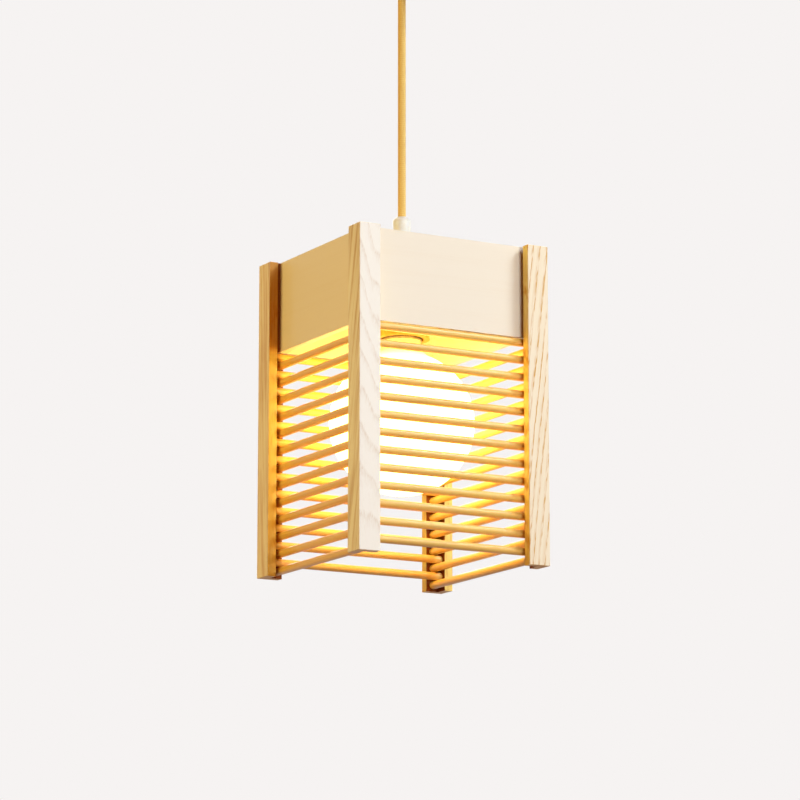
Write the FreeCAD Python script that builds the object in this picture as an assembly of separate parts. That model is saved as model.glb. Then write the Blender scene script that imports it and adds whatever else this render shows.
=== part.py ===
import FreeCAD, Part
import math
import os

# Wooden pendant light: a square shade of four rabbeted posts, four panels and four walls of dowels,
# hung by a textile cord from a round ceiling canopy. Millimetres, +Z up, ceiling plane at Z = 0.

# Shade
body_width = 138.0
post_height = 208.0
post_size = 15.0
leg_thickness = 6.2
post_edge_ease = 0.3
wall_setback = 2.4
panel_height = 59.8
panel_thickness = 5.0
board_thickness = 9.0
board_recess = 2.0
rod_diameter = 5.2
rod_crossing_gap = 0.45
rod_panel_gap = 0.3
rod_foot_margin = 1.0
glue_gap = 0.1

# Cord and its two grips
cord_diameter = 5.4
cord_clearance = 0.3
cord_free_length = 153.8
swing_gap = 1.0
grip_diameter = 11.5
grip_mouth_chamfer = 2.0
grip_lip_wall = 0.4
grip_collar_diameter = 16.0
grip_collar_height = 4.0
lamp_grip_barrel = 24.2
canopy_grip_barrel = 10.0
grip_socket_depth = 6.0
nipple_diameter = 10.0
nipple_bore = 7.0
thread_gap = 0.05
hole_clearance = 0.25
clamp_screw_diameter = 3.0
clamp_head_diameter = 5.0
clamp_head_height = 1.5
clamp_screw_from_mouth = 4.5

# Lampholder for a 27 mm screw bulb
holder_diameter = 36.0
holder_wall = 2.0
holder_boss_diameter = 18.0
holder_boss_height = 5.0
holder_headroom = 5.8
holder_shell_length = 25.5
holder_lip_height = 3.0
holder_mouth_clearance = 1.2
insertion_depth = 27.0
insert_thickness = 5.5
screw_shell_wall = 0.6
screw_shell_length = 23.0
holder_contact_diameter = 6.0
holder_contact_reach = 1.0
holder_contact_margin = 2.0
contact_gap = 0.2
cord_end_headroom = 2.3
lead_diameter = 1.8
lead_spread = 6.0

# Bulb
globe_clearance = 8.4
globe_to_rim = 8.5
glass_thickness = 1.0
neck_diameter = 24.0
neck_fillet = 12.0
neck_in_cap = 5.0
bulb_cap_diameter = 26.0
bulb_cap_length = 24.5
bulb_cap_wall = 0.5
bulb_cap_clearance = 0.3
insulator_height = 3.0
insulator_top_diameter = 12.0
bulb_contact_diameter = 9.0
bulb_contact_height = 2.0

# Ceiling canopy
canopy_diameter = 100.0
canopy_height = 26.0
canopy_wall = 1.2
canopy_edge_radius = 6.0
bar_width = 18.0
bar_thickness = 2.0
bar_end_margin = 6.0
ceiling_hole_spacing = 60.0
ceiling_hole_diameter = 5.0
stud_inset = 10.0
stud_diameter = 4.0
cap_nut_diameter = 8.0
cap_nut_height = 8.0
cap_nut_end_wall = 2.0
nut_across_flats = 14.0
nut_height = 4.0
nipple_past_nut = 2.8
tail_past_nipple = 2.0
terminal_size_x = 14.0
terminal_size_y = 24.0
terminal_size_z = 10.0
terminal_from_axis = 8.0
terminal_screw_diameter = 3.0
terminal_screw_depth = 4.0
terminal_pole_pitch = 10.0
terminal_row_pitch = 7.0
lead_separation = 2.6

# Plan of the shade
half = body_width / 2
leg_inner = half - leg_thickness
wall_plane = leg_inner - wall_setback
rod_radius = rod_diameter / 2
rod_plane = half - (leg_thickness + post_size) / 2
rod_half_length = leg_inner - glue_gap
panel_inner = wall_plane - panel_thickness
cord_radius = cord_diameter / 2
grip_radius = grip_diameter / 2
nipple_radius = nipple_diameter / 2

# Heights, from the ceiling down
canopy_bottom = -canopy_height
canopy_floor = canopy_bottom + canopy_wall
canopy_mouth = canopy_bottom - grip_collar_height - canopy_grip_barrel
swing_z = canopy_mouth - swing_gap
lamp_mouth = canopy_mouth - cord_free_length
board_top = lamp_mouth - lamp_grip_barrel - grip_collar_height
board_bottom = board_top - board_thickness
post_top = board_top + board_recess
post_bottom = post_top - post_height
panel_bottom = post_top - panel_height

# Dowels are stacked like logs in the middle of the rabbets, with their ends glued to the legs:
# each wall takes every second place, and the pitch is two places
rod_pitch = 2 * (rod_diameter + rod_crossing_gap)
top_rod_front = panel_bottom - rod_panel_gap - rod_radius
top_rod_side = top_rod_front - rod_pitch / 2
rod_count = 1 + int((top_rod_side - rod_radius - rod_foot_margin - post_bottom) / rod_pitch)

# Lampholder and bulb, from the board down
cap_ceiling = board_bottom - holder_boss_height
insert_top = cap_ceiling - holder_headroom
insert_bottom = insert_top - insert_thickness
contact_well_top = insert_bottom + insert_thickness / 2
contact_z = insert_bottom - holder_contact_reach - contact_gap
holder_rim = contact_z - insertion_depth
shell_top = holder_rim + holder_shell_length
cord_end = cap_ceiling - cord_end_headroom
insulator_top = contact_z - bulb_contact_height / 2
cap_top = insulator_top - insulator_height
cap_foot = cap_top - bulb_cap_length
screw_shell_bore = bulb_cap_diameter / 2 + bulb_cap_clearance
globe_radius = min(panel_inner, rod_plane - rod_radius) - globe_clearance
globe_z = holder_rim - globe_to_rim - globe_radius


def box(x0, x1, y0, y1, z0, z1):
    return Part.makeBox(x1 - x0, y1 - y0, z1 - z0, FreeCAD.Vector(x0, y0, z0))


def rod(radius, start, end):
    """Round bar from one centre point to another."""
    start = FreeCAD.Vector(*start)
    run = FreeCAD.Vector(*end) - start
    return Part.makeCylinder(radius, run.Length, start, run)


def upright(radius, low, high, x=0.0, y=0.0):
    return rod(radius, (x, y, low), (x, y, high))


def turned(*path):
    """Body of revolution about Z. Each item is a corner (r, z), or a pair: a point on an arc and its end."""
    points = [item if not isinstance(item[0], tuple) else item[1] for item in path]
    vectors = [FreeCAD.Vector(r, 0, z) for r, z in points]
    edges = []
    for i, item in enumerate(path):
        start = vectors[i - 1]
        if isinstance(item[0], tuple):
            r, z = item[0]
            edges.append(Part.Arc(start, FreeCAD.Vector(r, 0, z), vectors[i]).toShape())
        else:
            edges.append(Part.LineSegment(start, vectors[i]).toShape())
    face = Part.Face(Part.Wire(edges[1:] + edges[:1]))
    return face.revolve(FreeCAD.Vector(0, 0, 0), FreeCAD.Vector(0, 0, 1), 360)


def on_arc(centre, radius, degrees):
    angle = math.radians(degrees)
    return (centre[0] + radius * math.cos(angle), centre[1] + radius * math.sin(angle))


def post(side_x, side_y):
    """Square strip with a rabbet along its inner corner, so that two legs wrap the outside of the shade."""
    corners = [(0, 0), (post_size, 0), (post_size, leg_thickness), (leg_thickness, leg_thickness),
               (leg_thickness, post_size), (0, post_size)]
    outline = [FreeCAD.Vector(side_x * (half - u), side_y * (half - v), post_bottom) for u, v in corners]
    strip = Part.Face(Part.makePolygon(outline + outline[:1])).extrude(FreeCAD.Vector(0, 0, post_height))
    middles = [(edge, edge.CenterOfMass) for edge in strip.Edges]
    outside = [edge for edge, middle in middles if max(abs(middle.x), abs(middle.y)) > half - post_edge_ease]
    return strip.makeChamfer(post_edge_ease, outside)


def panel_along_x(side):
    """Front or back panel: its ends are glued to the side legs, inside the rabbets."""
    near, far = sorted((side * wall_plane, side * panel_inner))
    return box(-leg_inner, leg_inner, near, far, panel_bottom, post_top)


def panel_along_y(side):
    """Left or right panel: it butts between the front and back panels."""
    near, far = sorted((side * wall_plane, side * panel_inner))
    return box(near, far, -panel_inner, panel_inner, panel_bottom, post_top)


def rods_along_x(side):
    heights = [top_rod_front - i * rod_pitch for i in range(rod_count)]
    reach, y = rod_half_length, side * rod_plane
    return Part.makeCompound([rod(rod_radius, (-reach, y, z), (reach, y, z)) for z in heights])


def rods_along_y(side):
    heights = [top_rod_side - i * rod_pitch for i in range(rod_count)]
    reach, x = rod_half_length, side * rod_plane
    return Part.makeCompound([rod(rod_radius, (x, -reach, z), (x, reach, z)) for z in heights])


def top_board():
    board = box(-panel_inner, panel_inner, -panel_inner, panel_inner, board_bottom, board_top)
    return board.cut(upright(nipple_radius + hole_clearance, board_bottom, board_top))


def cord_grip(base, up, barrel):
    """Moulded grip: a collar and a barrel, with a bore for the cord and a socket for the nipple."""
    collar = base + up * grip_collar_height
    mouth = collar + up * barrel
    socket = base + up * grip_socket_depth
    bore = cord_radius + cord_clearance
    thread = nipple_radius + thread_gap
    lip = max(grip_radius - grip_mouth_chamfer, bore + grip_lip_wall)
    grip = turned((thread, base), (grip_collar_diameter / 2, base), (grip_collar_diameter / 2, collar),
                  (grip_radius, collar), (grip_radius, mouth - up * grip_mouth_chamfer), (lip, mouth),
                  (bore, mouth), (bore, socket), (thread, socket))
    screw_z = mouth - up * clamp_screw_from_mouth
    hole = rod(clamp_screw_diameter / 2 + thread_gap, (0, cord_radius, screw_z), (0, grip_diameter, screw_z))
    return grip.cut(hole)


def clamp_screw(base, up, barrel):
    """Screw through the side of the grip; its tip stops just clear of the cord."""
    screw_z = base + up * (grip_collar_height + barrel - clamp_screw_from_mouth)
    tip = cord_radius + cord_clearance
    head = grip_radius + thread_gap
    end = head + clamp_head_height
    shank = rod(clamp_screw_diameter / 2, (0, tip, screw_z), (0, head, screw_z))
    return shank.fuse(rod(clamp_head_diameter / 2, (0, head, screw_z), (0, end, screw_z)))


def nipple(low, high):
    return upright(nipple_radius, low, high).cut(upright(nipple_bore / 2, low, high))


def holder_cap():
    """Upper half of the lampholder: a boss that takes the nipple, a round shoulder and a skirt."""
    outer = holder_diameter / 2
    inner = outer - holder_wall
    boss = holder_boss_diameter / 2
    turn = holder_headroom
    shoulder = (outer - turn, cap_ceiling - turn)
    lid = cap_ceiling - holder_wall
    bore = nipple_radius + thread_gap
    return turned((bore, board_bottom), (boss, board_bottom), (boss, cap_ceiling), (shoulder[0], cap_ceiling),
                  (on_arc(shoulder, turn, 45), (outer, shoulder[1])), (outer, shell_top), (inner, shell_top),
                  (inner, shoulder[1]), (shoulder[0], lid), (bore, lid))


def holder_shell():
    """Lower half of the lampholder: a plain sleeve with an inward lip round the bulb's cap."""
    outer = holder_diameter / 2
    inner = outer - holder_wall
    mouth = bulb_cap_diameter / 2 + holder_mouth_clearance
    lip_top = holder_rim + holder_lip_height
    return turned((mouth, holder_rim), (outer, holder_rim), (outer, shell_top), (inner, shell_top),
                  (inner, lip_top), (mouth, lip_top))


def holder_insert():
    """Insulating block inside the lampholder, with a well for the centre contact."""
    block = upright(holder_diameter / 2 - holder_wall - thread_gap, insert_bottom, insert_top)
    return block.cut(upright(holder_contact_diameter / 2 + thread_gap, insert_bottom, contact_well_top))


def holder_screw_shell():
    """Metal screw shell that hangs from the insert; it is open below and has a holed top."""
    bore = screw_shell_bore
    outer = bore + screw_shell_wall
    foot = insert_bottom - screw_shell_length
    lid = insert_bottom - screw_shell_wall
    hole = holder_contact_diameter / 2 + holder_contact_margin
    return turned((bore, foot), (outer, foot), (outer, insert_bottom), (hole, insert_bottom), (hole, lid),
                  (bore, lid))


def holder_contact():
    return upright(holder_contact_diameter / 2, contact_z + contact_gap, contact_well_top)


def holder_leads():
    """The two cores of the cord, from its cut end to the terminals on the insert."""
    start = cord_end - contact_gap
    spread = lead_separation / 2
    leads = []
    for side in (-1, 1):
        foot = (side * (spread + lead_spread), 0, insert_top + lead_diameter / 2 + glue_gap)
        leads.append(rod(lead_diameter / 2, (side * spread, 0, start - lead_diameter / 2), foot))
    return Part.makeCompound(leads)


def bulb_globe():
    """Opal glass: a globe that flows into a neck, open at the top inside the metal cap."""
    neck = neck_diameter / 2
    throat = neck - glass_thickness
    inner = globe_radius - glass_thickness
    rise = math.sqrt((globe_radius + neck_fillet) ** 2 - (neck + neck_fillet) ** 2)
    centre = (0.0, globe_z)
    flow = (neck + neck_fillet, globe_z + rise)
    lean = math.degrees(math.atan2(rise, flow[0]))
    flank = (lean - 90) / 2
    sweep = 180 + lean / 2
    top = cap_foot + neck_in_cap
    return turned((0.0, globe_z - globe_radius),
                  (on_arc(centre, globe_radius, flank), on_arc(centre, globe_radius, lean)),
                  (on_arc(flow, neck_fillet, sweep), (neck, flow[1])), (neck, top), (throat, top),
                  (throat, flow[1]),
                  (on_arc(flow, neck_fillet + glass_thickness, sweep), on_arc(centre, inner, lean)),
                  (on_arc(centre, inner, flank), (0.0, globe_z - inner)))


def bulb_cap():
    """Metal screw cap: a thin sleeve, closed towards the contact by an inward rim."""
    outer = bulb_cap_diameter / 2
    inner = outer - bulb_cap_wall
    rim = outer - insulator_height / 2
    lid = cap_top - bulb_cap_wall
    return turned((inner, cap_foot), (outer, cap_foot), (outer, cap_top), (rim, cap_top), (rim, lid),
                  (inner, lid))


def bulb_insulator():
    """Black glass cone between the screw cap and the centre contact."""
    foot = bulb_cap_diameter / 2 - insulator_height / 2
    top = insulator_top_diameter / 2
    base = cap_top - bulb_cap_wall
    return turned((0.0, base), (foot, base), (foot, cap_top), (top, insulator_top), (0.0, insulator_top))


def bulb_contact():
    return upright(bulb_contact_diameter / 2, insulator_top, contact_z)


def pendant_cord():
    """Free cord and its length inside the lamp; its top is hollowed for the bending neck."""
    cord = upright(cord_radius, cord_end, swing_z)
    return cord.cut(Part.makeSphere(cord_radius + cord_clearance, FreeCAD.Vector(0, 0, swing_z)))


def cord_neck():
    """Short stretch of cord that bends below the canopy grip."""
    return Part.makeSphere(cord_radius, FreeCAD.Vector(0, 0, swing_z))


def cord_tail():
    """Cord inside the canopy grip and canopy; its foot is hollowed for the bending neck."""
    tail = upright(cord_radius, swing_z, tail_top)
    return tail.cut(Part.makeSphere(cord_radius + cord_clearance, FreeCAD.Vector(0, 0, swing_z)))


def canopy_cup():
    """Spun metal cup, open to the ceiling, with a rounded lower edge and three holes in its floor."""
    outer = canopy_diameter / 2
    inner = outer - canopy_wall
    turn = canopy_edge_radius
    centre = (outer - turn, canopy_bottom + turn)
    cup = turned((0.0, canopy_bottom), (centre[0], canopy_bottom),
                 (on_arc(centre, turn, -45), (outer, centre[1])), (outer, 0.0), (inner, 0.0),
                 (inner, centre[1]),
                 (on_arc(centre, turn - canopy_wall, -45), (centre[0], canopy_floor)), (0.0, canopy_floor))
    cup = cup.cut(upright(nipple_radius + hole_clearance, canopy_bottom, canopy_floor))
    for x in stud_places:
        cup = cup.cut(upright(stud_diameter / 2 + hole_clearance, canopy_bottom, canopy_floor, x))
    return cup


def mounting_bar():
    """Steel strip screwed to the ceiling, with two screw holes and two tapped holes for the studs."""
    reach = stud_places[1] + bar_end_margin
    bar = box(-reach, reach, -bar_width / 2, bar_width / 2, -bar_thickness, 0.0)
    for side in (-1, 1):
        x = side * ceiling_hole_spacing / 2
        bar = bar.cut(upright(ceiling_hole_diameter / 2, -bar_thickness, 0.0, x))
    for x in stud_places:
        bar = bar.cut(upright(stud_diameter / 2 + thread_gap, -bar_thickness, 0.0, x))
    return bar


def canopy_studs():
    foot = canopy_bottom - cap_nut_height + cap_nut_end_wall + thread_gap
    return Part.makeCompound([upright(stud_diameter / 2, foot, 0.0, x) for x in stud_places])


def cap_nuts():
    """Domed nuts that hold the cup up on the studs."""
    radius = cap_nut_diameter / 2
    dome = canopy_bottom - cap_nut_height + radius
    bore = stud_diameter / 2 + thread_gap
    end = canopy_bottom - cap_nut_height + cap_nut_end_wall
    nut = turned((bore, canopy_bottom), (radius, canopy_bottom), (radius, dome),
                 (on_arc((0.0, dome), radius, -45), (0.0, dome - radius)), (0.0, end), (bore, end))
    return Part.makeCompound([nut.translated(FreeCAD.Vector(x, 0, 0)) for x in stud_places])


def canopy_nut():
    """Hexagon nut on the nipple, inside the cup."""
    corner = nut_across_flats / math.sqrt(3)
    ring = [FreeCAD.Vector(*on_arc((0.0, 0.0), corner, 60 * i), canopy_floor) for i in range(6)]
    hexagon = Part.Face(Part.makePolygon(ring + ring[:1])).extrude(FreeCAD.Vector(0, 0, nut_height))
    return hexagon.cut(upright(nipple_radius + thread_gap, canopy_floor, canopy_floor + nut_height))


def terminal_block():
    """Two-pole connector block under the mounting bar, with the wells of its clamping screws."""
    x0 = terminal_from_axis
    half_y = terminal_size_y / 2
    block = box(x0, x0 + terminal_size_x, -half_y, half_y, terminal_foot, -bar_thickness)
    for x, y in terminal_screw_places:
        radius = terminal_screw_diameter / 2 + thread_gap
        block = block.cut(upright(radius, terminal_foot, terminal_foot + terminal_screw_depth, x, y))
    return block


def terminal_screws():
    top = terminal_foot + terminal_screw_depth
    radius = terminal_screw_diameter / 2
    return Part.makeCompound([upright(radius, terminal_foot, top, x, y) for x, y in terminal_screw_places])


def supply_leads():
    """The two cores above the cord's tail, drawn over to the side of the connector block."""
    start = tail_top + glue_gap + lead_diameter / 2
    end = terminal_from_axis - glue_gap - lead_diameter / 2
    height = terminal_foot + terminal_size_z / 2
    offsets = [side * lead_separation / 2 for side in (-1, 1)]
    return Part.makeCompound([rod(lead_diameter / 2, (0, y, start), (end, y, height)) for y in offsets])


# Places shared by several canopy pieces
stud_places = [side * (canopy_diameter / 2 - stud_inset) for side in (-1, 1)]
nipple_top = canopy_floor + nut_height + nipple_past_nut
tail_top = nipple_top + tail_past_nipple
terminal_foot = -bar_thickness - terminal_size_z
terminal_middle = terminal_from_axis + terminal_size_x / 2
terminal_screw_places = [(terminal_middle + i * terminal_row_pitch / 2, j * terminal_pole_pitch / 2)
                         for i in (-1, 1) for j in (-1, 1)]

parts = {
    "post_front_left": post(-1, -1),
    "post_front_right": post(1, -1),
    "post_back_left": post(-1, 1),
    "post_back_right": post(1, 1),
    "panel_front": panel_along_x(-1),
    "panel_back": panel_along_x(1),
    "panel_left": panel_along_y(-1),
    "panel_right": panel_along_y(1),
    "rods_front": rods_along_x(-1),
    "rods_back": rods_along_x(1),
    "rods_left": rods_along_y(-1),
    "rods_right": rods_along_y(1),
    "top_board": top_board(),
    "lamp_grip": cord_grip(board_top, 1, lamp_grip_barrel),
    "lamp_grip_screw": clamp_screw(board_top, 1, lamp_grip_barrel),
    "lamp_nipple": nipple(cap_ceiling - holder_wall, board_top + grip_socket_depth),
    "holder_cap": holder_cap(),
    "holder_shell": holder_shell(),
    "holder_insert": holder_insert(),
    "holder_screw_shell": holder_screw_shell(),
    "holder_contact": holder_contact(),
    "holder_leads": holder_leads(),
    "bulb_globe": bulb_globe(),
    "bulb_cap": bulb_cap(),
    "bulb_insulator": bulb_insulator(),
    "bulb_contact": bulb_contact(),
    "pendant_cord": pendant_cord(),
    "cord_neck": cord_neck(),
    "cord_tail": cord_tail(),
    "canopy_cup": canopy_cup(),
    "mounting_bar": mounting_bar(),
    "canopy_studs": canopy_studs(),
    "cap_nuts": cap_nuts(),
    "canopy_grip": cord_grip(canopy_bottom, -1, canopy_grip_barrel),
    "canopy_grip_screw": clamp_screw(canopy_bottom, -1, canopy_grip_barrel),
    "canopy_nipple": nipple(canopy_bottom - grip_socket_depth, nipple_top),
    "canopy_nut": canopy_nut(),
    "terminal_block": terminal_block(),
    "terminal_screws": terminal_screws(),
    "supply_leads": supply_leads(),
}

os.makedirs("parts", exist_ok=True)
for name, shape in parts.items():
    shape.exportStep("parts/" + name + ".step")
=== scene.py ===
"""Looks of a wooden pendant light: ash posts, smooth panels, dowel walls, a lit globe and a textile cord."""
import math
import random

import bpy
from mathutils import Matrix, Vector


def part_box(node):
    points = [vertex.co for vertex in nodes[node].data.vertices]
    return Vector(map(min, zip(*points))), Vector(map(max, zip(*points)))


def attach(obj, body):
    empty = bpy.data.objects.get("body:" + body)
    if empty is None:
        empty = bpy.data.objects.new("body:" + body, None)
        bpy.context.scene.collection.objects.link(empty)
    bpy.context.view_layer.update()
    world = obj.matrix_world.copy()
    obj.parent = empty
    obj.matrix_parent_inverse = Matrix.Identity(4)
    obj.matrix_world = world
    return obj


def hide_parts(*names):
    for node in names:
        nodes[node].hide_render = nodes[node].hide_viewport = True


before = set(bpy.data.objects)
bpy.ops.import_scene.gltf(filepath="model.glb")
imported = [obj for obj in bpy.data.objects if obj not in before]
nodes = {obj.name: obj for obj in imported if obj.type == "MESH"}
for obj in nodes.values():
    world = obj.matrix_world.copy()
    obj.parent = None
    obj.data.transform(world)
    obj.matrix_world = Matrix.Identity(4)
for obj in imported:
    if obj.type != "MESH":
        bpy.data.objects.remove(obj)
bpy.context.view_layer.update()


def srgb(red, green, blue):
    """Linear colour, with alpha, of a colour written from 0 to 255."""
    def channel(value):
        share = value / 255
        return share / 12.92 if share <= 0.04045 else ((share + 0.055) / 1.055) ** 2.4
    return (channel(red), channel(green), channel(blue), 1.0)


BLACK = (0.0, 0.0, 0.0, 1.0)
GREY = (0.4, 0.4, 0.4, 1.0)
WHITE = (1.0, 1.0, 1.0, 1.0)

# Camera, at the photograph's viewing angle (degrees, metres, millimetres of lens)
VIEW_AZIMUTH = -29.32
VIEW_ELEVATION = -11.47
VIEW_DISTANCE = 2.362
VIEW_CENTRE = Vector((-0.0011, 0.0005, -0.3153))
LENS = 164.44
SENSOR_WIDTH = 36.0

# Room and lamps
FLOOR_Z = -2.75
FLOOR_RADIUS = 30.0
FLOOR_SIDES = 96
FLOOR_GLOW = 0.7
FLOOR_CLOUD_SCALE = 3.0
BACKDROP = srgb(246, 243, 242)
AMBIENT = (1.0, 0.36, 0.04, 1.0)
AMBIENT_LEVEL = 0.25
SOFTBOX_REACH = math.radians(38)
KEY_COLOUR = (0.835, 0.96, 1.0)
FILL_COLOUR = (1.0, 0.81, 0.28)
BACK_COLOUR = (0.85, 0.95, 1.0)
TOP_COLOUR = (0.9, 0.96, 1.0)

# Cord: the heights of its foot, inside the lamp's grip, and of its head, and its braided sleeve
CORD_FOOT = -0.2225
CORD_HEAD = -0.041
CORD_DIAMETER = 0.0054
BRAID_STRANDS = 6
BRAID_PITCH = 0.0026
BRAID_DEPTH = 0.0002
BRAID_SIDES = 8 * BRAID_STRANDS
BRAID_STEPS = 440
STRAND_TONES = (0.25, 0.5)
TUFT_SCALE = 2600.0
TUFT_TONE = 0.5
TUFT_RELIEF = 0.00008

# Dowels
DOWEL_PITCH = 0.0113
DOWEL_END_ROUND = 0.0011
DOWEL_END_STEPS = 4
DOWEL_SIDES = 28
DOWEL_GRAIN_SHIFT = 0.02

# Wood: how its marks are drawn out along the trunk, how fine they are, and its relief and inner glow.
# WAVE_TURN is the angle in radians by which the wave texture turns for each unit of its scale.
GRAIN_TURN = {"X": (0.0, math.pi / 2, 0.0), "Y": (math.pi / 2, 0.0, 0.0), "Z": (0.0, 0.0, 0.0)}
RING_DRAW = 0.06
FIBRE_DRAW = 0.02
PORE_DRAW = 0.1
FIBRE_SCALE = 1100.0
BLOTCH_SCALE = 90.0
PORE_SCALE = 1500.0
PATCH_SCALE = 260.0
WAVE_TURN = 20
RING_FAINT, RING_STRONG = 0.2, 1.8
PATCH_FAINT, PATCH_STRONG = -1.6, 2.4
PORE_STRONG = 0.6
RING_PROFILE = [(0.0, WHITE), (0.14, GREY), (0.4, BLACK), (0.88, BLACK), (1.0, WHITE)]
PORE_PROFILE = [(0.42, BLACK), (0.58, WHITE)]
GRAIN_RELIEF = 0.00006
GRAIN_RELIEF_STRENGTH = 0.5
WOOD_ROUGHNESS_PLAY = 0.08
WOOD_GLOW_RADIUS = (1.0, 0.5, 0.14)
WOOD_GLOW_DEPTH = 0.003

# Posts and panels: colours of sawn faces, partly painted shade, of painted shade in the rabbets and on the
# panels' ends there, and where they begin
POST_GLOSS = 0.12
# Sawn faces: the wood's own rougher tone, darkened and yellowed as painted shade for the reveals
SAWN_AND_SHADED = (srgb(248, 220, 130), srgb(208, 150, 66))
RABBET_SHADE_BROWN = srgb(146, 80, 30)
END_SANDING = 0.7
EDGE_MARGIN = 0.0001
RABBET_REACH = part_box("rods_front")[1].x + 2 * EDGE_MARGIN
PANEL_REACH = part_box("panel_right")[1].x + EDGE_MARGIN
PANEL_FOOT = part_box("panel_front")[0].z
FADE_BELOW = 0.004
FADE_ABOVE = 0.002

# Globe: colours of its light on the round, at the neck and at the cap, and where the first two end, as
# shares of its height
GLOBE_GLOW = (1.0, 0.73, 0.22, 1.0)
NECK_GLOW = (0.3, 0.17, 0.02, 1.0)
CAP_GLOW = (0.06, 0.03, 0.003, 1.0)
GLOW_STRENGTH = 5.8
ROUND_END = 0.80
NECK_END = 0.90

# Moulded, painted and metal surfaces
SPECKLE_RELIEF = 0.00002
SPECKLE_ROUGHNESS_PLAY = 0.06


def feed(tree, node, inputs):
    """Fills inputs of a shader node. Each gets a value, or another node's output to link."""
    for name, value in inputs.items():
        if isinstance(value, bpy.types.NodeSocket):
            tree.links.new(value, node.inputs[name])
        else:
            node.inputs[name].default_value = value


def add(tree, kind, inputs=None, **settings):
    """New shader node with its inputs and settings."""
    made = tree.nodes.new("ShaderNode" + kind)
    for name, value in settings.items():
        setattr(made, name, value)
    feed(tree, made, inputs or {})
    return made


def ramp(tree, factor, stops):
    """Colour ramp; stops are pairs of a place from 0 to 1 and a colour."""
    made = add(tree, "ValToRGB", {"Fac": factor})
    elements = made.color_ramp.elements
    while len(elements) < len(stops):
        elements.new(0.5)
    for element, (place, colour) in zip(elements, stops):
        element.position = place
        element.color = colour
    return made.outputs["Color"]


def blend_by(tree, factor, low, high, start=0.0, end=1.0):
    """Value that goes from low to high as factor goes from start to end."""
    return add(tree, "MapRange", {"Value": factor, "From Min": start, "From Max": end,
                                  "To Min": low, "To Max": high}).outputs["Result"]


def mix(tree, factor, first, second):
    """Colour that goes from first to second as factor goes from 0 to 1."""
    return add(tree, "MixRGB", {"Fac": factor, "Color1": first, "Color2": second}).outputs["Color"]


def calc(tree, operation, first, second=0.0):
    return add(tree, "Math", {0: first, 1: second}, operation=operation).outputs[0]


def noise(tree, place, scale, detail):
    return add(tree, "TexNoise", {"Vector": place, "Scale": scale, "Detail": detail}).outputs["Fac"]


def components(tree, vector):
    """The X, Y and Z of a vector."""
    return add(tree, "SeparateXYZ", {"Vector": vector}).outputs


def object_place(tree):
    return add(tree, "TexCoord").outputs["Object"]


def facing(tree):
    """The X, Y and Z of the direction that a face looks in."""
    return components(tree, add(tree, "TexCoord").outputs["Normal"])


def relief(tree, shader, height, distance, strength=1.0):
    """Raises the surface by height, which goes from 0 to 1, times a distance in metres."""
    bump = add(tree, "Bump", {"Height": height, "Distance": distance, "Strength": strength})
    feed(tree, shader, {"Normal": bump.outputs["Normal"]})


def new_material(name):
    made = bpy.data.materials.new(name)
    made.use_nodes = True
    return made, made.node_tree, made.node_tree.nodes["Principled BSDF"]


def wear(node, made):
    """Gives a CAD node or a piece one material on every face."""
    piece = nodes[node] if isinstance(node, str) else node
    piece.data.materials.clear()
    piece.data.materials.append(made)


def drawn_out(tree, trunk, draw):
    """Place in the trunk, shortened along it, so that marks come out long."""
    return add(tree, "Mapping", {"Vector": trunk, "Scale": (1.0, 1.0, draw)}).outputs["Vector"]


def wood_marks(tree, trunk, ring_gap, rings, streaks, blotches, waves, pores):
    """Tone of the wood, from 0 where pale to 1 where dark, with its streaks and its ring lines."""
    along_rings = drawn_out(tree, trunk, RING_DRAW)
    ring = add(tree, "TexWave", {
        "Vector": along_rings, "Scale": 2 * math.pi / WAVE_TURN / ring_gap, "Distortion": waves,
        "Detail": 2.0, "Detail Scale": 0.7},
        wave_type="RINGS", rings_direction="Z", wave_profile="SAW").outputs["Fac"]
    line = ramp(tree, ring, RING_PROFILE)
    streak = noise(tree, drawn_out(tree, trunk, FIBRE_DRAW), FIBRE_SCALE, 2.0)
    tone = calc(tree, "MULTIPLY", line, blend_by(tree, streak, RING_FAINT * rings, RING_STRONG * rings))
    if pores:
        dash = ramp(tree, noise(tree, drawn_out(tree, trunk, PORE_DRAW), PORE_SCALE, 1.0), PORE_PROFILE)
        tone = calc(tree, "MULTIPLY", tone, blend_by(tree, dash, 1 - pores, 1 + PORE_STRONG * pores))
    tone = calc(tree, "ADD", tone, blend_by(tree, streak, -streaks, streaks))
    blotch = noise(tree, along_rings, BLOTCH_SCALE, 2.0)
    tone = calc(tree, "ADD", tone, blend_by(tree, blotch, -blotches, blotches))
    return tone, streak, line


def side_patches(tree, trunk, patches):
    """Long brown marks on the faces that look along X."""
    cloud = noise(tree, drawn_out(tree, trunk, RING_DRAW), PATCH_SCALE, 3.0)
    patch = blend_by(tree, cloud, PATCH_FAINT * patches, PATCH_STRONG * patches)
    return calc(tree, "MULTIPLY", patch, calc(tree, "ABSOLUTE", facing(tree)["X"]))


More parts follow.
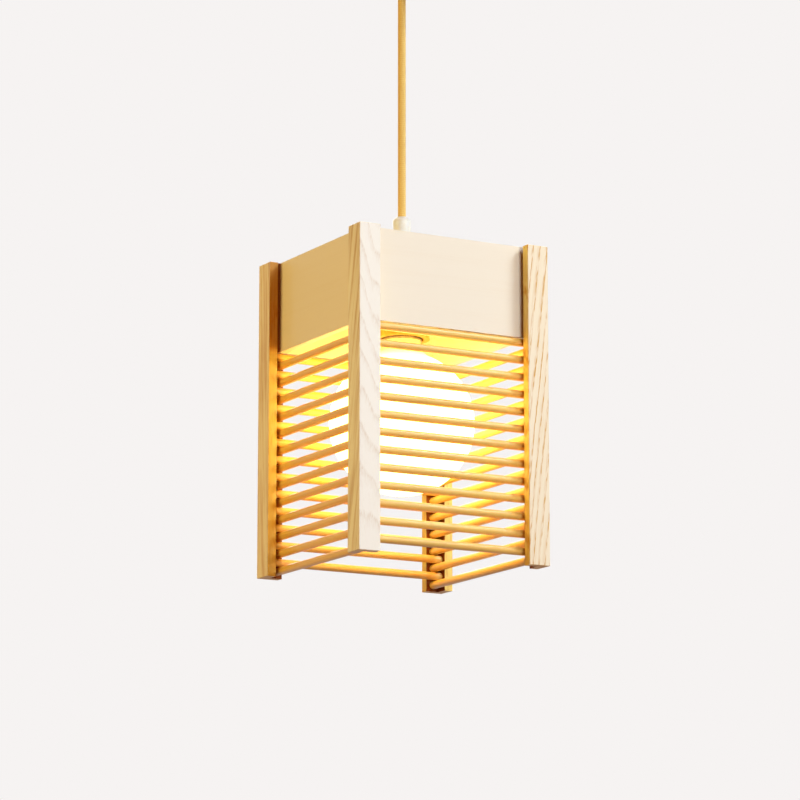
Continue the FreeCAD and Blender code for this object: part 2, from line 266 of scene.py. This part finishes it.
def post_colour(tree, place, tone, sanded_colour, outward, sawn_and_shaded, panel_shade):
    """Colour of a post: sanded outside, partly sanded at its ends, sawn inside in a darker, yellower colour
    that is partly painted shade, and painted dark brown shade in the rabbet.

    Outward holds the signs of X and Y on its outer faces. The last argument is painted shade: how much darker
    the sawn faces are painted beside the panels than below them.
    """
    toward = facing(tree)
    sanded = calc(tree, "MAXIMUM", calc(tree, "MULTIPLY", toward["X"], outward[0]),
                  calc(tree, "MULTIPLY", toward["Y"], outward[1]))
    end_grain = calc(tree, "MULTIPLY", calc(tree, "ABSOLUTE", toward["Z"]), END_SANDING)
    sanded = calc(tree, "MAXIMUM", sanded, end_grain)
    where = components(tree, place)
    # Painted shade: sawn faces darker beside the panels, which shade them from the bulb, fading out just
    # below the panels' foot
    painted_panel_shade = blend_by(tree, where["Z"], 0.0, panel_shade, PANEL_FOOT - FADE_BELOW, PANEL_FOOT + FADE_ABOVE)
    sawn_shaded_pale, sawn_shaded_dark = sawn_and_shaded
    sawn_shaded_colour = ramp(tree, calc(tree, "ADD", tone, painted_panel_shade), [(0.0, sawn_shaded_pale), (1.0, sawn_shaded_dark)])
    # Painted shade: faces inside the rabbet are painted dark brown, for the shade of the recess round the
    # dowel ends
    reach = calc(tree, "MAXIMUM", calc(tree, "ABSOLUTE", where["X"]), calc(tree, "ABSOLUTE", where["Y"]))
    shaded_in_rabbet = calc(tree, "LESS_THAN", reach, RABBET_REACH)
    sawn_shaded_colour = mix(tree, shaded_in_rabbet, sawn_shaded_colour, RABBET_SHADE_BROWN)
    return mix(tree, sanded, sawn_shaded_colour, sanded_colour)


def wood(name, grain, pale, dark, ring_gap, pith, lean=(0.0, 0.0), rings=0.6, streaks=0.35, blotches=0.3,
         waves=3.0, pores=0.0, patches=0.0, roughness=0.5, gloss=0.3, glow_through=0.0, dowel=False,
         outward=None, sawn_and_shaded=SAWN_AND_SHADED, panel_shade=0.0, end_seat=None):
    """Wood with growth rings about a pith line, which runs along grain through a point and leans a little.

    Waves is how far the rings wander, and pores how far they break into short dashes. A dowel reads its
    grain from its mesh. A post has outward, as post_colour says. Past end_seat, a panel's ends lie in the
    rabbets and are painted dark brown, as painted shade.
    """
    made, tree, shader = new_material(name)
    if dowel:
        place = add(tree, "Attribute", attribute_name="grain").outputs["Vector"]
    else:
        place = object_place(tree)
    turn = [a + b for a, b in zip(GRAIN_TURN[grain], (lean[0], lean[1], 0.0))]
    trunk = add(tree, "Mapping", {"Vector": place, "Rotation": turn, "Location": pith},
                vector_type="TEXTURE").outputs["Vector"]
    tone, streak, line = wood_marks(tree, trunk, ring_gap, rings, streaks, blotches, waves, pores)
    if patches:
        tone = calc(tree, "ADD", tone, side_patches(tree, trunk, patches))
    colour = ramp(tree, tone, [(0.0, pale), (1.0, dark)])
    if outward:
        colour = post_colour(tree, place, tone, colour, outward, sawn_and_shaded, panel_shade)
    # Painted shade: past end_seat the panel's ends, in the rabbets, are painted dark brown for the shade in
    # the gap beside the posts
    if end_seat:
        from_middle = calc(tree, "ABSOLUTE", components(tree, place)[grain])
        colour = mix(tree, calc(tree, "GREATER_THAN", from_middle, end_seat), colour, RABBET_SHADE_BROWN)
    relief(tree, shader, calc(tree, "ADD", streak, line), GRAIN_RELIEF, GRAIN_RELIEF_STRENGTH)
    feed(tree, shader, {
        "Base Color": colour,
        "Roughness": blend_by(tree, streak, roughness - WOOD_ROUGHNESS_PLAY, roughness + WOOD_ROUGHNESS_PLAY),
        "Specular IOR Level": gloss,
        "Subsurface Weight": glow_through,
        "Subsurface Radius": WOOD_GLOW_RADIUS,
        "Subsurface Scale": WOOD_GLOW_DEPTH})
    return made


def speckled(name, pale, dark, scale, roughness, metallic=0.0):
    """Moulded, painted or metal surface with a fine cloud of tone and a fine relief."""
    made, tree, shader = new_material(name)
    cloud = noise(tree, object_place(tree), scale, 4.0)
    relief(tree, shader, cloud, SPECKLE_RELIEF)
    feed(tree, shader, {
        "Base Color": ramp(tree, cloud, [(0.35, dark), (0.65, pale)]),
        "Roughness": blend_by(tree, cloud, roughness + SPECKLE_ROUGHNESS_PLAY,
                              roughness - SPECKLE_ROUGHNESS_PLAY),
        "Metallic": metallic})
    return made


def grip_plastic():
    """Translucent moulded plastic."""
    made = speckled("grip_plastic", srgb(255, 252, 247), srgb(246, 238, 226), 420.0, 0.35)
    feed(made.node_tree, made.node_tree.nodes["Principled BSDF"], {
        "Subsurface Weight": 0.8,
        "Subsurface Radius": (1.0, 0.9, 0.75),
        "Subsurface Scale": 0.008,
        "Transmission Weight": 0.08,
        "IOR": 1.45})
    return made


def lit_glass():
    """Opal glass with the lamp burning inside it: even on the round, fading and redder towards the cap."""
    made, tree, shader = new_material("opal_glass")
    low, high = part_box("bulb_globe")
    rise = blend_by(tree, components(tree, object_place(tree))["Z"], 0.0, 1.0, low.z, high.z)
    glow = ramp(tree, rise, [(0.0, GLOBE_GLOW), (ROUND_END, GLOBE_GLOW), (NECK_END, NECK_GLOW),
                             (1.0, CAP_GLOW)])
    feed(tree, shader, {
        "Base Color": srgb(250, 244, 230),
        "Roughness": 0.25,
        "Emission Color": glow,
        "Emission Strength": GLOW_STRENGTH})
    return made


def cord_textile():
    """Braided sleeve: two sets of strands wind round the cord and cross."""
    made, tree, shader = new_material("cord_textile")
    place = object_place(tree)
    where = components(tree, place)
    round_way = calc(tree, "MULTIPLY", calc(tree, "ARCTAN2", where["Y"], where["X"]), BRAID_STRANDS)
    long_way = calc(tree, "MULTIPLY", where["Z"], 2 * math.pi / BRAID_PITCH)
    first = calc(tree, "SINE", calc(tree, "ADD", round_way, long_way))
    second = calc(tree, "SINE", calc(tree, "SUBTRACT", round_way, long_way))
    strand = calc(tree, "MULTIPLY", first, second)
    tuft = noise(tree, place, TUFT_SCALE, 2.0)
    tone = calc(tree, "ADD", blend_by(tree, strand, *STRAND_TONES), calc(tree, "MULTIPLY", tuft, TUFT_TONE))
    relief(tree, shader, tuft, TUFT_RELIEF)
    feed(tree, shader, {
        "Base Color": ramp(tree, tone, [(0.2, srgb(210, 150, 38)), (0.9, srgb(255, 230, 144))]),
        "Roughness": 0.75,
        "Sheen Weight": 0.05})
    return made


def floor_paint():
    """Pale paint that the camera sees almost without shading."""
    made, tree, shader = new_material("floor_paint")
    cloud = noise(tree, object_place(tree), FLOOR_CLOUD_SCALE, 2.0)
    feed(tree, shader, {
        "Base Color": ramp(tree, cloud, [(0.3, srgb(236, 235, 232)), (0.7, srgb(242, 241, 239))]),
        "Roughness": 0.8})
    glow = add(tree, "Emission", {"Color": WHITE, "Strength": 1.0})
    share = calc(tree, "MULTIPLY", seen_directly(tree), FLOOR_GLOW)
    mixed = add(tree, "MixShader", {0: share, 1: shader.outputs[0], 2: glow.outputs[0]})
    feed(tree, tree.nodes["Material Output"], {"Surface": mixed.outputs[0]})
    return made


def seen_directly(tree):
    """1 for rays from the camera, also by way of metal and glass, until a dull surface spreads them."""
    path = add(tree, "LightPath").outputs
    either = calc(tree, "MAXIMUM", path["Is Camera Ray"], path["Is Glossy Ray"])
    either = calc(tree, "MAXIMUM", either, path["Is Transmission Ray"])
    return calc(tree, "MULTIPLY", either, calc(tree, "LESS_THAN", path["Diffuse Depth"], 0.5))


def new_object(name, data):
    made = bpy.data.objects.new(name, data)
    bpy.context.scene.collection.objects.link(made)
    return made


def tube_faces(first, rings, sides):
    """Faces of a tube whose points lie ring after ring from point number first; its two ends come last."""
    faces = []
    for ring in range(rings - 1):
        start = first + ring * sides
        for side in range(sides):
            here, after = start + side, start + (side + 1) % sides
            faces.append((here, after, after + sides, here + sides))
    last = first + (rings - 1) * sides
    faces.append(tuple(reversed(range(first, first + sides))))
    faces.append(tuple(range(last, last + sides)))
    return faces


def dowel_wall(name, node, along, made, seed):
    """Round bars with rounded ends, one above the other, each with its own grain, in place of a CAD wall."""
    low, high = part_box(node)
    across = 1 - along
    radius = (high[across] - low[across]) / 2
    count = 1 + round((high.z - low.z - 2 * radius) / DOWEL_PITCH)
    draw = random.Random(seed)
    angles = [math.pi / 2 * step / DOWEL_END_STEPS for step in range(DOWEL_END_STEPS + 1)]
    ends = [(DOWEL_END_ROUND * (1 - math.cos(angle)), radius - DOWEL_END_ROUND * (1 - math.sin(angle)))
            for angle in angles]
    stations = [(low[along] + depth, reach) for depth, reach in ends]
    stations += [(high[along] - depth, reach) for depth, reach in reversed(ends)]
    places, faces, grains = [], [], []
    for bar in range(count):
        centre = (low + high) / 2
        centre.z = high.z - radius - bar * DOWEL_PITCH
        shift = Vector([draw.uniform(-DOWEL_GRAIN_SHIFT, DOWEL_GRAIN_SHIFT) for _ in range(3)])
        faces += tube_faces(len(places), len(stations), DOWEL_SIDES)
        for station, reach in stations:
            for side in range(DOWEL_SIDES):
                angle = 2 * math.pi * side / DOWEL_SIDES
                point = Vector(centre)
                point[along] = station
                point[across] += reach * math.cos(angle)
                point.z += reach * math.sin(angle)
                places.append(point)
                grains.append(point - centre + shift)
    mesh = bpy.data.meshes.new(name)
    mesh.from_pydata(places, [], faces)
    if along == 1:
        mesh.flip_normals()
    mesh.polygons.foreach_set("use_smooth", [True] * len(faces))
    attribute = mesh.attributes.new("grain", "FLOAT_VECTOR", "POINT")
    attribute.data.foreach_set("vector", [value for grain in grains for value in grain])
    piece = new_object(name, mesh)
    wear(piece, made)
    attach(piece, "lamp")
    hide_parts(node)


def cord_height(share):
    """Height on the cord, from its foot at 0 to its head at 1."""
    return CORD_FOOT + (CORD_HEAD - CORD_FOOT) * share


def pendant_cord(made):
    """Straight cord under the lamp's weight, from inside the lamp's grip up to the bend below the canopy.

    The strands of its sleeve cross as small raised lozenges.
    """
    places = []
    for step in range(BRAID_STEPS + 1):
        z = cord_height(step / BRAID_STEPS)
        for side in range(BRAID_SIDES):
            angle = 2 * math.pi * side / BRAID_SIDES
            first = math.sin(BRAID_STRANDS * angle + 2 * math.pi * z / BRAID_PITCH)
            second = math.sin(BRAID_STRANDS * angle - 2 * math.pi * z / BRAID_PITCH)
            radius = CORD_DIAMETER / 2 - BRAID_DEPTH * (1 - first * second) / 2
            places.append((radius * math.cos(angle), radius * math.sin(angle), z))
    faces = tube_faces(0, BRAID_STEPS + 1, BRAID_SIDES)
    mesh = bpy.data.meshes.new("hanging_cord")
    mesh.from_pydata(places, [], faces)
    mesh.polygons.foreach_set("use_smooth", [True] * (len(faces) - 2) + [False] * 2)
    piece = new_object("hanging_cord", mesh)
    wear(piece, made)
    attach(piece, "cord")
    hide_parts("pendant_cord")


def camera():
    data = bpy.data.cameras.new("camera")
    data.lens = LENS
    data.sensor_width = SENSOR_WIDTH
    made = new_object("camera", data)
    azimuth, elevation = math.radians(VIEW_AZIMUTH), math.radians(VIEW_ELEVATION)
    back = Vector((math.sin(azimuth) * math.cos(elevation), -math.cos(azimuth) * math.cos(elevation),
                   math.sin(elevation)))
    made.location = VIEW_CENTRE + back * VIEW_DISTANCE
    made.rotation_mode = "QUATERNION"
    made.rotation_quaternion = back.to_track_quat("Z", "Y")
    bpy.context.scene.camera = made


def backdrop():
    """World that is plain and pale to the eye, and lights the object with a low warm glow."""
    world = bpy.data.worlds.new("studio")
    world.use_nodes = True
    bpy.context.scene.world = world
    tree = world.node_tree
    tree.nodes.clear()
    ambient = add(tree, "Background", {"Color": AMBIENT, "Strength": AMBIENT_LEVEL})
    plain = add(tree, "Background", {"Color": BACKDROP, "Strength": 1.0})
    mixed = add(tree, "MixShader", {0: seen_directly(tree), 1: ambient.outputs[0], 2: plain.outputs[0]})
    add(tree, "OutputWorld", {"Surface": mixed.outputs[0]})


def floor():
    mesh = bpy.data.meshes.new("floor")
    turns = [2 * math.pi * side / FLOOR_SIDES for side in range(FLOOR_SIDES)]
    rim = [(FLOOR_RADIUS * math.cos(turn), FLOOR_RADIUS * math.sin(turn), FLOOR_Z) for turn in turns]
    mesh.from_pydata(rim, [], [tuple(range(FLOOR_SIDES))])
    made = new_object("floor", mesh)
    wear(made, floor_paint())


def soft_light(name, direction, distance, size, level, colour, shines=True):
    """Softbox with a grid, aimed at the shade. At level 1 a white surface that faces it renders about white.

    A lamp that shines shows in metal and in glossy coats.
    """
    data = bpy.data.lights.new(name, "AREA")
    data.shape = "RECTANGLE"
    data.size, data.size_y = size
    data.spread = 2 * SOFTBOX_REACH
    data.color = colour
    focus = math.tan(SOFTBOX_REACH) / (math.tan(SOFTBOX_REACH) - SOFTBOX_REACH)
    data.energy = level * math.pi ** 2 * distance ** 2 / focus
    lamp = new_object(name, data)
    toward = Vector(direction).normalized()
    lamp.location = VIEW_CENTRE + toward * distance
    lamp.visible_glossy = shines
    lamp.rotation_mode = "QUATERNION"
    lamp.rotation_quaternion = toward.to_track_quat("Z", "Y")


camera()
backdrop()
floor()
soft_light("key_front", (0.12, -0.98, 0.1), distance=2.2, size=(0.7, 0.4), level=0.55, colour=KEY_COLOUR)
soft_light("key_high", (0.56, -0.62, 0.7), distance=2.2, size=(0.9, 0.9), level=0.9, colour=KEY_COLOUR)
soft_light("fill_left", (-1.0, 0.12, 0.2), distance=2.0, size=(1.0, 1.0), level=0.66, colour=FILL_COLOUR)
soft_light("back", (0.2, 1.0, 0.4), distance=2.4, size=(1.6, 1.6), level=0.75, colour=BACK_COLOUR)
soft_light("top", (0.05, 0.15, 1.0), distance=2.2, size=(0.7, 0.7), level=0.35, colour=TOP_COLOUR,
           shines=False)

# Posts: each is cut from another part of the tree
wear("post_front_left", wood(
    "ash_front_left", "Z", srgb(252, 247, 239), srgb(196, 156, 110), ring_gap=0.0042,
    pith=(-0.0435, -0.006, -0.324), lean=(0.19, 0.0), rings=0.2, streaks=0.08, blotches=0.06, waves=6.0,
    pores=0.5, patches=0.5, gloss=POST_GLOSS, outward=(-1, -1)))
# Its sawn faces are lighter, as painted light on its left-facing reveal
wear("post_front_right", wood(
    "ash_front_right", "Z", srgb(250, 236, 212), srgb(214, 160, 66), ring_gap=0.0042,
    pith=(0.190, -0.050, -0.324), lean=(0.02, 0.12), rings=0.75, streaks=0.3, blotches=0.12, waves=6.0,
    pores=0.8, patches=0.3, gloss=POST_GLOSS, outward=(1, -1),
    sawn_and_shaded=(srgb(255, 230, 140), srgb(224, 166, 70))))
# Its sawn faces beside the panels are painted darker, as painted shade on its reveal
wear("post_back_left", wood(
    "ash_back_left", "Z", srgb(250, 238, 218), srgb(196, 140, 76), ring_gap=0.0034,
    pith=(-0.050, 0.200, -0.324), lean=(-0.04, 0.03), rings=0.2, streaks=0.15, blotches=0.1,
    pores=0.6, patches=0.4, gloss=POST_GLOSS, outward=(-1, 1),
    sawn_and_shaded=(srgb(255, 228, 136), srgb(200, 128, 46)), panel_shade=0.8))
wear("post_back_right", wood(
    "ash_back_right", "Z", srgb(250, 238, 218), srgb(200, 146, 82), ring_gap=0.0038,
    pith=(0.160, 0.120, -0.324), lean=(0.04, -0.05), rings=0.4, streaks=0.2, blotches=0.15,
    pores=0.6, patches=0.3, gloss=POST_GLOSS, outward=(1, 1)))

# Panels, top board and dowels
for node, grain, pith in (("panel_front", "X", (0.0, -0.20, -0.25)), ("panel_back", "X", (0.0, 0.22, -0.24)),
                          ("panel_left", "Y", (-0.21, 0.0, -0.25)), ("panel_right", "Y", (0.20, 0.0, -0.26))):
    wear(node, wood(
        "veneer_" + node, grain, srgb(246, 236, 220), srgb(230, 206, 173), ring_gap=0.012, pith=pith,
        rings=0.10, streaks=0.10, blotches=0.14, roughness=0.32, gloss=0.2, end_seat=PANEL_REACH))
wear("top_board", wood(
    "board_wood", "X", srgb(240, 222, 190), srgb(198, 158, 104), ring_gap=0.006, pith=(0.0, 0.03, -0.4)))
rod_wood = {along: wood(
    "rod_wood_" + along, along, srgb(246, 203, 110), srgb(186, 118, 38), ring_gap=0.0022,
    pith=(0.012, 0.008, 0.0), rings=0.14, streaks=0.22, roughness=0.33, gloss=0.42, glow_through=0.1,
    dowel=True) for along in "XY"}
dowel_wall("dowels_front", "rods_front", 0, rod_wood["X"], seed=11)
dowel_wall("dowels_back", "rods_back", 0, rod_wood["X"], seed=12)
dowel_wall("dowels_left", "rods_left", 1, rod_wood["Y"], seed=13)
dowel_wall("dowels_right", "rods_right", 1, rod_wood["Y"], seed=14)

# Cord, fittings and bulb
textile = cord_textile()
pendant_cord(textile)
grip = grip_plastic()
zinc = speckled("zinc_steel", srgb(206, 208, 210), srgb(176, 179, 184), 420.0, 0.32, metallic=1.0)
brass = speckled("brass", srgb(226, 192, 108), srgb(196, 154, 74), 380.0, 0.28, metallic=1.0)
plating = speckled("holder_metal", srgb(240, 204, 110), srgb(222, 178, 84), 300.0, 0.4, metallic=1.0)
ceramic = speckled("holder_ceramic", srgb(240, 236, 226), srgb(224, 217, 204), 240.0, 0.6)
paint = speckled("canopy_paint", srgb(244, 242, 238), srgb(238, 235, 229), 700.0, 0.42)
polyamide = speckled("terminal_plastic", srgb(230, 230, 226), srgb(214, 214, 208), 320.0, 0.45)
insulation = speckled("lead_insulation", srgb(150, 104, 66), srgb(126, 82, 48), 500.0, 0.4)
bulb_metal = speckled("cap_metal", srgb(214, 214, 210), srgb(184, 184, 180), 360.0, 0.3, metallic=1.0)
black_glass = speckled("black_insulator", srgb(34, 32, 34), srgb(18, 17, 19), 300.0, 0.2)
opal = lit_glass()
finishes = {
    textile: ("cord_neck", "cord_tail"),
    grip: ("lamp_grip", "canopy_grip"),
    zinc: ("lamp_grip_screw", "canopy_grip_screw", "lamp_nipple", "canopy_nipple", "canopy_nut",
           "canopy_studs", "cap_nuts", "mounting_bar"),
    brass: ("holder_screw_shell", "holder_contact", "bulb_contact", "terminal_screws"),
    plating: ("holder_cap", "holder_shell"),
    ceramic: ("holder_insert",),
    paint: ("canopy_cup",),
    polyamide: ("terminal_block",),
    insulation: ("holder_leads", "supply_leads"),
    bulb_metal: ("bulb_cap",),
    black_glass: ("bulb_insulator",),
    opal: ("bulb_globe",),
}
for made, members in finishes.items():
    for node in members:
        wear(node, made)

bpy.context.scene.view_settings.view_transform = "Standard"
